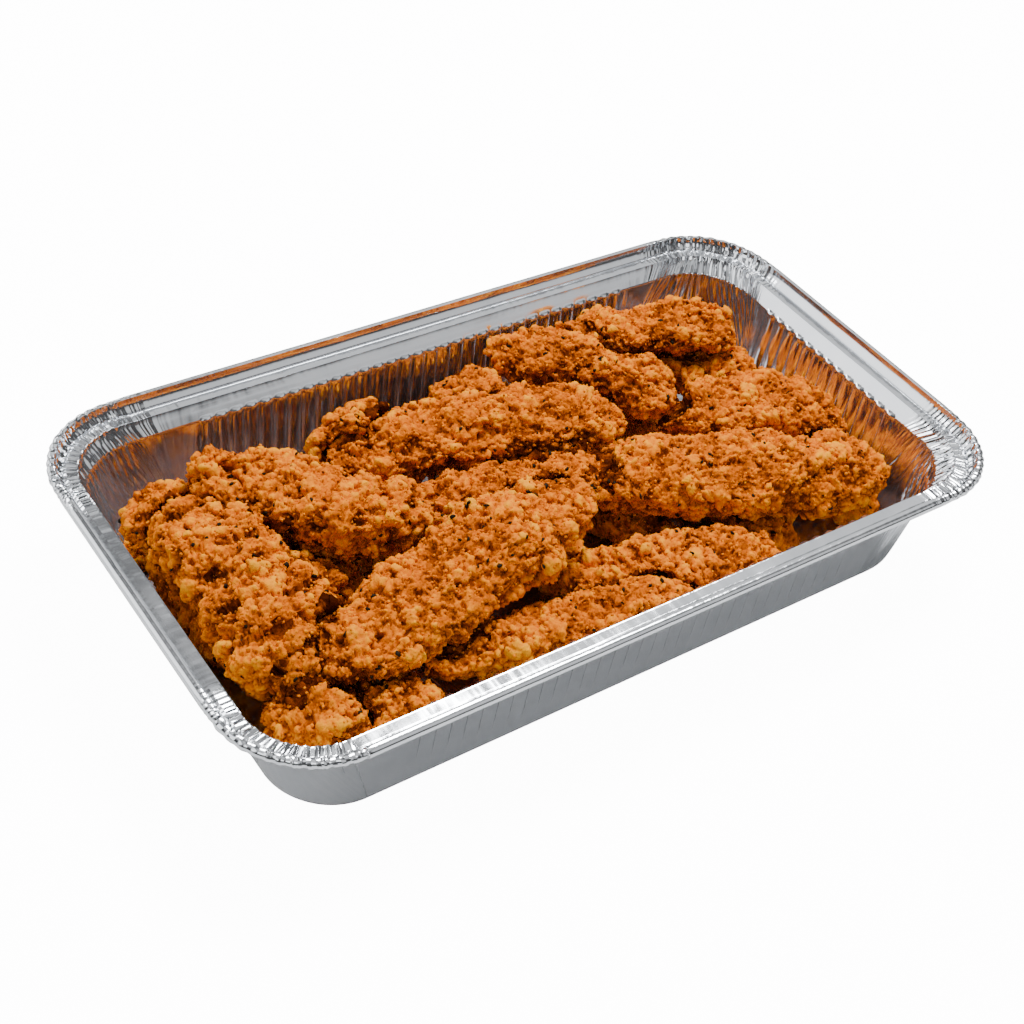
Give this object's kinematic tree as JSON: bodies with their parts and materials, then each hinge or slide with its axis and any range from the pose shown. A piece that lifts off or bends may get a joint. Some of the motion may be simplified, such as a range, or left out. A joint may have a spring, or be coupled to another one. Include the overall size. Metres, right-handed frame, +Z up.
{
  "type": "foil tray meal",
  "caption": "Oblong aluminium foil tray with a rolled rim and fluted walls, filled with craggy breaded chicken tenders flecked with black pepper.",
  "frame": {"origin": "under the middle of the tray, on the surface that it stands on", "axes": "+X along the tray's long side, +Y along its short side, +Z up"},
  "size_m": [0.3126, 0.1766, 0.0555],
  "materials": {
    "foil": "satin rolled foil with pressed flutes and creased corners",
    "crust": "rough fried breading, golden orange with pepper flecks"
  },
  "bodies": {
    "root": {"tender_back_centre": "crust", "tender_back_left": "crust", "tender_back_nub": "crust", "tender_back_raised": "crust", "tender_centre_lower": "crust", "tender_centre_upper": "crust", "tender_far_left": "crust", "tender_front_corner": "crust", "tender_front_left": "crust", "tender_front_long": "crust", "tender_front_right": "crust", "tender_high_front": "crust", "tender_left_front": "crust", "tender_left_side": "crust", "tender_low_back": "crust", "tender_low_centre": "crust", "tender_low_end": "crust", "tender_low_gap": "crust", "tender_low_left": "crust", "tender_low_middle": "crust", "tender_low_right": "crust", "tender_right_back": "crust", "tender_right_front": "crust", "tender_right_wall": "crust", "tender_upper_left": "crust", "tray": "foil"}
  },
  "joints": []
}
